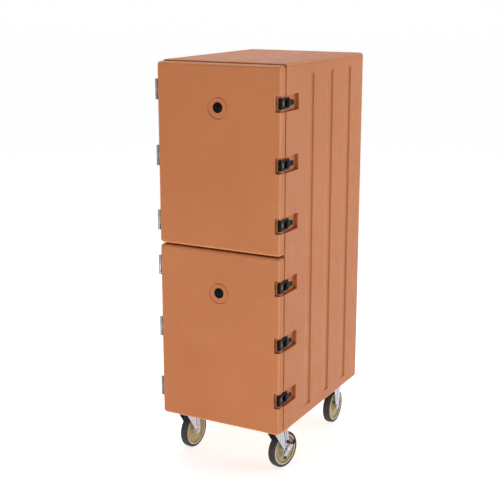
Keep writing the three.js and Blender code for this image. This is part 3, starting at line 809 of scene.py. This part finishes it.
def screw_head(x, y, z):
    """A countersunk cross-recessed screw head, set in a leaf and facing -X."""
    head = turned("x", [(0, -0.7), (3.2, -0.55), (4.4, 0.1), (4.4, 1.4), (0, 1.4)], 24, (x, y, z))
    slots = [slab(x - 2, x - 0.1, y - 2.4, y + 2.4, z - 0.5, z + 0.5, 0)]
    slots.append(slab(x - 2, x - 0.1, y - 0.5, y + 0.5, z - 2.4, z + 2.4, 0))
    return cut(head, *slots)


def knuckle(z0, z1):
    return pin("z", BARREL, z0, z1, edge=0.5, sides=40)


def hinge_plate(x0, y0, y1):
    """A leaf's flat plate, with round corners."""
    outline = rounded_rect(y0, y1, -HINGE_HALF, HINGE_HALF, 4)
    return outline_plate("x", outline, x0, x0 + LEAF, 0.4)


def build_hinge(name, door):
    pivot = joint_mm(f"{door}_door_hinge")
    low, high = box_mm(f"{name}_door_leaf")
    at = (pivot.x, pivot.y, (low.z + high.z) / 2)
    recess_floor = LEFT + HINGE_RECESS - pivot.x
    seat = recess_floor - SEAT_GAP
    plate_x = seat - LEAF
    strap_x = plate_x - 0.8 - LEAF
    third = HINGE_HALF * 2 / 3
    face = BODY_LOW.y - pivot.y
    middle = third / 2 - KNUCKLE_GAP

    door_leaf = join(
        knuckle(-middle, middle),
        slab(1.5, seat, -3.2, 3.2, -middle, middle, 0.5),
        hinge_plate(plate_x, -2, 26),
        *[screw_head(plate_x, 13, z) for z in (-27, 0, 27)],
    )
    door_leaf = cut(door_leaf, pin("z", PIN_HOLE, -50, 50, edge=0))
    steel = (STAINLESS, "stainless")
    piece(f"{name}_door_plate", door_leaf, f"{door}_door", *steel, [f"{name}_door_leaf"], at)

    tongues = [(third / 2, HINGE_HALF), (-HINGE_HALF, -third / 2)]
    cabinet_leaf = join(
        pin("z", PIN_RADIUS, -HINGE_HALF, HINGE_HALF),
        *[knuckle(z0, z1) for z0, z1 in tongues],
        *[slab(strap_x, strap_x + LEAF, 0, face + 8, z0, z1, 0.5) for z0, z1 in tongues],
        hinge_plate(strap_x, 9, face + 8),
        slab(strap_x, seat, face + 2, face + 8, -HINGE_HALF, HINGE_HALF, 0.6),
        hinge_plate(plate_x, face + 2, face + 60),
        *[screw_head(plate_x, face + y, z) for y in (22, 46) for z in (-28, 0, 28)],
    )
    piece(f"{name}_body_plate", cabinet_leaf, "cabinet", *steel, [f"{name}_cabinet_leaf"], at)


# ---------------------------------------------------------------- latches

LOOP_OUTER = 5.0
LOOP_INNER = 10.0
LOOP_HALF = 20.5
LOOP_ARM_INNER = 14.5
LOOP_PIN = 2.2


def build_latch(name, door):
    """One latch, drawn about a point on the side face in line with the door's front face."""
    lever_joint = joint_mm(f"{name}_lever_pivot")
    loop_joint = joint_mm(f"{name}_loop_pivot")
    at = Vector((RIGHT, DOOR_FRONT, lever_joint.z))
    lever = lever_joint - at
    loop = loop_joint - at
    build_latch_base(name, at, lever)
    build_latch_lever(name, at, lever, loop)
    build_latch_loop(name, at, loop)


def build_latch_base(name, at, lever):
    floor = -POCKET_DEPTH + 0.3
    outline = rounded_rect(lever.y - 9, lever.y + 36, -18, 18, 4)
    plate = outline_plate("x", outline, floor, floor + 2.5, 0.6)
    head_profile = [(0, 4.4), (2.4, 4.1), (3.6, 3.0), (3.6, 2.0), (0, 2.0)]
    screws = []
    for z in (-12, 12):
        head = turned("x", head_profile, 24, (floor, lever.y + 30, z))
        slot = slab(floor + 3.4, floor + 6, lever.y + 28, lever.y + 32, z - 0.5, z + 0.5, 0)
        screws.append(cut(head, slot))
    post = slab(floor, lever.x, lever.y - 3.8, lever.y + 3.8, -6, 6, 0.8)
    eye = pin("z", 3.8, -6, 6, (lever.x, lever.y, 0), sides=32)
    pivot = pin("z", 2.2, -13, 13, (lever.x, lever.y, 0), edge=0.4)
    base = join(plate, post, eye, pivot, *screws)
    piece(f"{name}_bracket", base, "cabinet", NYLON, "nylon", [f"{name}_base"], at)


def build_latch_lever(name, at, lever, loop):
    """Two cheeks on the pivots under a cover that narrows to a ribbed finger tab."""
    cheeks = []
    for z0, z1 in ((6.5, 14), (-14, -6.5)):
        cheeks.append(pin("z", 3.9, z0, z1, (lever.x, lever.y, 0), sides=32))
        cheeks.append(pin("z", 3.9, z0, z1, (loop.x, loop.y, 0), sides=32))
        cheeks.append(slab(lever.x - 3.6, lever.x + 3.6, lever.y, loop.y, z0, z1, 0.7))
    end = loop.y + 33
    tip = [(end - 3 + 3 * math.sin(a), 10 - 3 + 3 * math.cos(a)) for a in arc_steps(4)]
    half = [(lever.y + 4, 14), (loop.y + 9, 14), (loop.y + 13, 12.6), (loop.y + 17, 10)]
    outline = half + tip
    outline += [(y, -z) for y, z in reversed(outline)]
    cover = outline_plate("x", outline, -5.2, -1.8, 0.7)
    ribs = [slab(-2.6, -1.0, end - 2.4 - 3 * i, end - 1.2 - 3 * i, -7.5, 7.5, 0.4) for i in range(1, 4)]
    stop = slab(-2.2, -0.4, end - 2.8, end, -9.4, 9.4, 0.6)
    spine = slab(-2.4, -1.1, loop.y + 2, loop.y + 20, -1.6, 1.6, 0.5)
    pivot = pin("z", LOOP_PIN, -LOOP_HALF, LOOP_HALF, (loop.x, loop.y, 0), edge=0.4)
    handle = join(cheeks[0], *cheeks[1:], cover, *ribs, stop, spine, pivot)
    hole = pin("z", 2.5, -30, 30, (lever.x, lever.y, 0), edge=0)
    handle = cut(handle, hole)
    bmesh.ops.translate(handle, vec=-lever, verts=handle.verts)
    piece(f"{name}_handle", handle, f"{name}_lever", NYLON, "nylon", [f"{name}_lever"], at + lever)


def build_latch_loop(name, at, loop):
    """The hook: a thick bar behind the door's ridge, a window, and two arms back to the lever's pivot."""
    web = 33
    bar = slab(-18, -3, 3, 14.6, -21, 21, 1.6, 3)
    plate = slab(-LOOP_INNER, -LOOP_OUTER + 2, 3, web, -21, 21, 1.4, 3)
    arms = []
    for z0, z1 in ((LOOP_ARM_INNER, LOOP_HALF), (-LOOP_HALF, -LOOP_ARM_INNER)):
        arms.append(slab(loop.x - 2.6, loop.x + 3.2, web - 5, loop.y, z0, z1, 0.9))
        arms.append(pin("z", 4.2, z0, z1, (loop.x, loop.y, 0), sides=32))
    hook = join(bar, plate, *arms)
    window = rect_loft("x", (17, 29, -10, 10), 2.5, [(-30, 0), (10, 0)])
    hole = pin("z", LOOP_PIN + 0.3, -40, 40, (loop.x, loop.y, 0), edge=0)
    hook = cut(hook, window, hole)
    bmesh.ops.translate(hook, vec=-loop, verts=hook.verts)
    piece(f"{name}_hook", hook, f"{name}_loop", NYLON, "nylon", [f"{name}_loop"], at + loop)


# ---------------------------------------------------------------- casters

WHEEL_RADIUS = 76.0
CORE_RADIUS = 65.0
AXLE = 6.0
KINGPIN = 6.0
RUNNING_GAP = 0.3
LEG_INNER = 21.0
LEG = 4.0
CROWN = 5.0
TRAIL = 38.0
PLATE = 5.0
PLATE_HALF_X = 45.0
PLATE_HALF_Y = 52.5
BOLT_INSET = 12.0
BEAD_LEAN = 0.35


def build_wheel(name, body, at, turn):
    """A crowned tyre on a stepped core."""
    inner = CORE_RADIUS + 0.3
    shoulder = [(WHEEL_RADIUS - 7 + 7 * math.sin(a), 16 - 7 + 7 * math.cos(a)) for a in arc_steps(6)]
    half = [(inner, 14.6), (inner + 1.2, 15.6), (inner + 2.4, 16)] + shoulder
    tread = [(r, -along) for r, along in reversed(half)]
    profile = half + [(WHEEL_RADIUS, 0)] + tread + [half[0]]
    tyre = turned("x", profile, 120)
    piece(f"{name}_tread", tyre, body, TYRE, "tyre", [f"{name}_tyre"], at, turn, flat=False)

    rim_steps = [(0, 13.8), (0.8, 14.6), (5.4, 14.6), (6.6, 13.8), (7.6, 10.0), (9.0, 8.8)]
    rim = [(CORE_RADIUS - inward, along) for inward, along in rim_steps]
    web = [(42, 8.0), (40.6, 8.8), (38.2, 8.8), (36.8, 8.0)]
    hub = [(23, 7.4), (20.4, 8.6), (18.6, 13.0), (17.4, 17.8), (16.4, 19.0), (11.4, 19.0), (10.4, 18.2)]
    bore = [(9.8, 17.4), (8.4, 17.0), (AXLE + 0.4, 17.0)]
    half = rim + web + hub + bore
    profile = half + [(r, -along) for r, along in reversed(half)] + [half[0]]
    core = turned("x", profile, 96)
    piece(f"{name}_core", core, body, CORE, "wheel_core", [f"{name}_wheel_core"], at, turn)


def build_axle(name, body, at, turn, under_nut):
    """The axle bolt: a low round head with a socket outside, and a hexagon nut at the other end."""
    outer = LEG_INNER + LEG + 0.3
    head_x = outer + under_nut
    shank = pin("x", AXLE, -outer - 6.5, head_x + 2, sides=32)
    head = turned("x", [(0, 4.6), (5.4, 4.6), (7.6, 3.4), (8.4, 1.4), (8.4, 0), (0, 0)], 48, (head_x, 0, 0))
    nut = turned("x", [(0, -6), (8.4, -6), (10, -5), (10, 0), (0, 0)], 6, (-outer, 0, 0))
    socket = turned("x", [(0, 1.2), (2.9, 1.2), (2.9, 7), (0, 7)], 6, (head_x, 0, 0))
    bolt = cut(join(shank, head, nut), socket)
    piece(f"{name}_axle_bolt", bolt, body, ZINC, "zinc", [f"{name}_axle"], at, turn)


def leg_outline(top, front, rear, axle_y):
    """A leg in side view: straight edges from the crown down to a round end about the axle."""
    end = 14.0
    points = [(front, top), (front + 2, top - 14)]
    for i in range(13):
        angle = math.pi + i / 12 * math.pi
        points.append((axle_y + end * math.cos(angle), WHEEL_RADIUS + end * math.sin(angle)))
    return points + [(rear - 2, top - 14), (rear, top)]


def strip(start, end, half_width, stations):
    """A narrow straight bar in a leg's plane, lofted through (x, grow) stations."""
    along = (end - start).normalized()
    across = Vector((-along.y, along.x))
    rings = []
    for x, grow in stations:
        a, b = start - along * grow, end + along * grow
        side = across * (half_width + grow)
        rings.append([(x, *(a - side)), (x, *(b - side)), (x, *(b + side)), (x, *(a + side))])
    return loft(rings)


def leg_pair(top, front, rear, axle_y):
    """Two pressed legs, each with a raised bead between two narrow grooves."""
    outline = leg_outline(top, front, rear, axle_y)
    lean = ((front + rear) / 2 - axle_y) * BEAD_LEAN
    foot = Vector((axle_y - 2, WHEEL_RADIUS + 20))
    head = Vector((axle_y - 2 + lean, top - 7))
    legs = []
    for side in (-1, 1):
        face = side * (LEG_INNER + LEG)
        x0, x1 = sorted((side * LEG_INNER, face))
        bead_stations = [(face - side, 0), (face + side * 0.5, 0), (face + side * 1.4, -1.2)]
        bead = strip(foot, head, 4.2, bead_stations)
        leg = join(outline_plate("x", outline, x0, x1, 0.8), bead)
        for apart in (-5.8, 5.8):
            shift = Vector((apart, 0))
            groove = [(face - side * 3.2, -0.3), (face - side * 0.2, 0), (face + side * 2, 0.4)]
            leg = cut(leg, strip(foot + shift, head + shift, 1.6, groove))
        legs.append(leg)
    return legs


def plate_corners():
    """Where a mounting plate's four bolts stand."""
    x, y = PLATE_HALF_X - BOLT_INSET, PLATE_HALF_Y - BOLT_INSET
    return [(sx * x, sy * y) for sx in (-1, 1) for sy in (-1, 1)]


def mounting_plate(z0, z1):
    """A rounded rectangular plate with slotted bolt holes."""
    outline = rounded_rect(-PLATE_HALF_X, PLATE_HALF_X, -PLATE_HALF_Y, PLATE_HALF_Y, 7)
    plate = outline_plate("z", outline, z0, z1, 0.8)
    holes = []
    for x, y in plate_corners():
        holes.append(rect_loft("z", (x - 5, x + 5, y - 4.5, y + 4.5), 4.4, [(z0 - 9, 0), (z1 + 9, 0)]))
    return cut(plate, gathered(holes))


def bolt_heads(z):
    """Hexagon heads under the plate's corners."""
    profile = [(0, 0.3), (6.6, 0.3), (6.6, -3.4), (5.6, -4.4), (0, -4.4)]
    return [turned("z", profile, 6, (x, y, z)) for x, y in plate_corners()]


def build_swivel_caster(name, braked):
    swivel = joint_mm(f"{name}_swivel_turn")
    hub = joint_mm(f"{name}_wheel_spin")
    axis = Vector(JOINTS[f"{name}_wheel_spin"]["axis"])
    turn = math.atan2(axis.y, axis.x)
    plate_top = box_mm(f"{name}_top_plate")[1].z
    crown_top = box_mm(f"{name}_fork")[1].z
    crown_low = crown_top - CROWN
    race = crown_top + 0.3
    plate_low = plate_top - PLATE

    dome = [(0, plate_low + 1), (34, plate_low + 1), (34, plate_low - 1.6), (31.5, plate_low - 4)]
    dome += [(31.5, race + 1.4), (30.4, race), (0, race)]
    nut_low, nut_high = crown_low - 6.3, crown_low - 1.2
    top = join(
        mounting_plate(plate_low, plate_top),
        turned("z", dome, 72),
        pin("z", KINGPIN, crown_low - 6, race + 4),
        turned("z", [(0, nut_low), (9.4, nut_low), (9.4, nut_high), (0, nut_high)], 6),
        *bolt_heads(plate_low),
    )
    foot = (swivel.x, swivel.y, 0)
    piece(f"{name}_plate", top, "cabinet", ZINC, "zinc", [f"{name}_top_plate"], foot)

    width = LEG_INNER + LEG
    crown = [(0, crown_low), (32, crown_low), (34, crown_low + 1.4)]
    crown += [(34, crown_top - 1.2), (32.8, crown_top), (0, crown_top)]
    fork = join(
        turned("z", crown, 72),
        slab(-width, width, -32, TRAIL - 2, crown_low, crown_top, 1.2, 3),
        *leg_pair(crown_top - 0.4, -32, TRAIL + 10, TRAIL),
    )
    axle_hole = pin("x", AXLE + RUNNING_GAP, -60, 60, (0, TRAIL, WHEEL_RADIUS), edge=0, sides=32)
    king_hole = pin("z", KINGPIN + RUNNING_GAP, crown_low - 20, crown_top + 20, edge=0, sides=32)
    fork = cut(fork, axle_hole, king_hole)
    piece(f"{name}_yoke", fork, f"{name}_swivel", ZINC, "zinc", [f"{name}_fork"], foot, turn)
    if braked:
        build_bumper(name, width, foot, turn)
    build_wheel(name, f"{name}_wheel", hub, turn)
    build_axle(name, f"{name}_swivel", hub, turn, 2.8 if braked else 0.0)
    if braked:
        build_brake(name, hub, turn)


def build_bumper(name, face, foot, turn):
    """The rubber stop on the fork's outer face, above the wheel's axle."""
    place = (0, TRAIL + 6, WHEEL_RADIUS + 35)
    post = pin("x", 7, face - 0.5, face + 9.5, place, edge=1.6, sides=32)
    piece(f"{name}_bumper", post, f"{name}_swivel", RUBBER, "seal", (), foot, turn)


def build_brake(name, hub, turn):
    """The brake lever on the axle bolt, with a hooked rubber pedal above and a rubber toe below."""
    body = f"{name}_brake"
    x0 = LEG_INNER + LEG + 0.3
    under = [(-21, -23), (-16, -28), (-9, -29), (6, -15), (22, -3), (34, 8), (43, 20)]
    over = [(45, 33), (41, 37), (36, 34), (30, 28), (20, 23), (8, 18), (-3, 13), (-12, 1), (-18, -12)]
    arm = outline_plate("x", under + over, x0, x0 + 2.5, 0.5)
    boss = turned("x", [(0, 0.4), (12.5, 0.4), (12.5, 2.5), (11.4, 3.4), (0, 3.4)], 48, (x0, 0, 0))
    hole = pin("x", AXLE + 2.6, 0, 60, edge=0, sides=32)
    lever = cut(join(arm, boss), hole)
    piece(f"{name}_brake_strip", lever, body, ZINC, "zinc", [f"{name}_brake_lever"], hub, turn)
    angles = [math.radians(-150 + 17 * i) for i in range(11)]
    outer = [(31 + 14 * math.cos(a), 32 + 14 * math.sin(a)) for a in angles]
    inner = [(31 + 8.5 * math.cos(a), 32 + 8.5 * math.sin(a)) for a in reversed(angles)]
    pedal = outline_plate("x", outer + inner, x0 - 0.1, x0 + 8.4, 0.9)
    toe = slab(x0 - 0.1, x0 + 7.8, -23.5, -9.5, -32, -22, 2.2, 3)
    piece(f"{name}_brake_pedal", pedal, body, RUBBER, "seal", (), hub, turn)
    piece(f"{name}_brake_toe", toe, body, RUBBER, "seal", (), hub, turn)


def build_rigid_caster(name):
    hub = joint_mm(f"{name}_wheel_spin")
    plate_top = box_mm(f"{name}_bracket")[1].z
    plate_low = plate_top - PLATE
    foot = (hub.x, hub.y, 0)
    bracket = join(
        mounting_plate(plate_low, plate_top),
        *leg_pair(plate_low + 1, -36, 36, 0),
        *bolt_heads(plate_low),
    )
    axle_hole = pin("x", AXLE + RUNNING_GAP, -60, 60, (0, 0, WHEEL_RADIUS), edge=0, sides=32)
    bracket = cut(bracket, axle_hole)
    piece(f"{name}_frame", bracket, "cabinet", ZINC, "zinc", [f"{name}_bracket"], foot)
    build_wheel(name, f"{name}_wheel", hub, 0.0)
    build_axle(name, "cabinet", hub, 0.0, 0.0)


# ---------------------------------------------------------------- studio

CAMERA_PLACE = Vector((2.061, -3.959, 1.955))
CAMERA_YAW = math.radians(28.19)
CAMERA_PITCH = math.radians(14.01)
CAMERA_LENS = 77.5
FLOOR_HALF = 300.0
FLOOR_GLOW = 0.7

# The world's brightness along an axis: where a step starts and ends, and its value before and after.
SWEEP_LEVELS = (-0.5, 0.5, 0.2, 1.03)
CEILING_LEVELS = (0.1, 0.8, 1.0, 0.3)
HORIZON_LEVELS = (0.12, 0.30, 1.02, 0.0)
WORLD_LEVELS = (("Y", SWEEP_LEVELS), ("Z", CEILING_LEVELS), ("Z", HORIZON_LEVELS))


def build_camera():
    camera = bpy.data.cameras.new("camera")
    camera.lens = CAMERA_LENS
    obj = bpy.data.objects.new("camera", camera)
    obj.location = CAMERA_PLACE
    obj.rotation_euler = (math.pi / 2 - CAMERA_PITCH, 0, CAMERA_YAW)
    bpy.context.scene.collection.objects.link(obj)
    bpy.context.scene.camera = obj


def area_light(name, place, target, size, power):
    light = bpy.data.lights.new(name, "AREA")
    light.shape = "RECTANGLE"
    light.size, light.size_y = size
    light.energy = power
    obj = bpy.data.objects.new(name, light)
    obj.location = place
    obj.rotation_euler = (Vector(target) - Vector(place)).to_track_quat("-Z", "Y").to_euler()
    bpy.context.scene.collection.objects.link(obj)


def build_floor():
    mesh = bpy.data.meshes.new("floor")
    bm = bmesh.new()
    bmesh.ops.create_grid(bm, x_segments=1, y_segments=1, size=FLOOR_HALF)
    bm.to_mesh(mesh)
    bm.free()
    look = Look("pale_floor", (0.9, 0.9, 0.9), 0.9)
    look.shader.inputs["Emission Color"].default_value = (1, 1, 1, 1)
    look.shader.inputs["Emission Strength"].default_value = FLOOR_GLOW
    mesh.materials.append(look.material)
    floor = bpy.data.objects.new("floor", mesh)
    bpy.context.scene.collection.objects.link(floor)


def build_world():
    """A white sweep behind the object, dimmer above and in front, and a white horizon all round."""
    world = bpy.data.worlds.new("studio")
    world.use_nodes = True
    nodes, links = world.node_tree.nodes, world.node_tree.links
    split = nodes.new("ShaderNodeSeparateXYZ")
    links.new(nodes.new("ShaderNodeTexCoord").outputs["Generated"], split.inputs["Vector"])
    levels = []
    for axis, steps in WORLD_LEVELS:
        level = nodes.new("ShaderNodeMapRange")
        level.interpolation_type = "SMOOTHSTEP"
        for socket, value in zip(("From Min", "From Max", "To Min", "To Max"), steps):
            level.inputs[socket].default_value = value
        links.new(split.outputs[axis], level.inputs["Value"])
        levels.append(level.outputs["Result"])
    product = nodes.new("ShaderNodeMath")
    product.operation = "MULTIPLY"
    links.new(levels[0], product.inputs[0])
    links.new(levels[1], product.inputs[1])
    brightest = nodes.new("ShaderNodeMath")
    brightest.operation = "MAXIMUM"
    links.new(product.outputs["Value"], brightest.inputs[0])
    links.new(levels[2], brightest.inputs[1])
    background = nodes["Background"]
    background.inputs["Color"].default_value = (1, 1, 1, 1)
    links.new(brightest.outputs["Value"], background.inputs["Strength"])
    bpy.context.scene.world = world


def build_studio():
    build_floor()
    build_world()
    middle = (0, 0, 0.8)
    area_light("front", (0.25, -3.0, 0.06), (0, -0.4, 0.9), (1.2, 0.5), 42)
    area_light("side", (4.6, 2.2, 1.2), middle, (2.2, 2.2), 68)
    area_light("top", (-0.6, 0.4, 4.0), middle, (2.0, 2.0), 55)
    bpy.context.scene.view_settings.view_transform = "Standard"


# ---------------------------------------------------------------- build

build_camera()
build_studio()
dress_cad_nodes()
build_cabinet()
for door_name in DOORS:
    build_door(door_name)
    for hinge_name in hinge_names(door_name):
        build_hinge(hinge_name, door_name)
    for latch_name in latch_names(door_name):
        build_latch(latch_name, door_name)
build_swivel_caster("front_left", braked=False)
build_swivel_caster("front_right", braked=True)
build_rigid_caster("rear_left")
build_rigid_caster("rear_right")
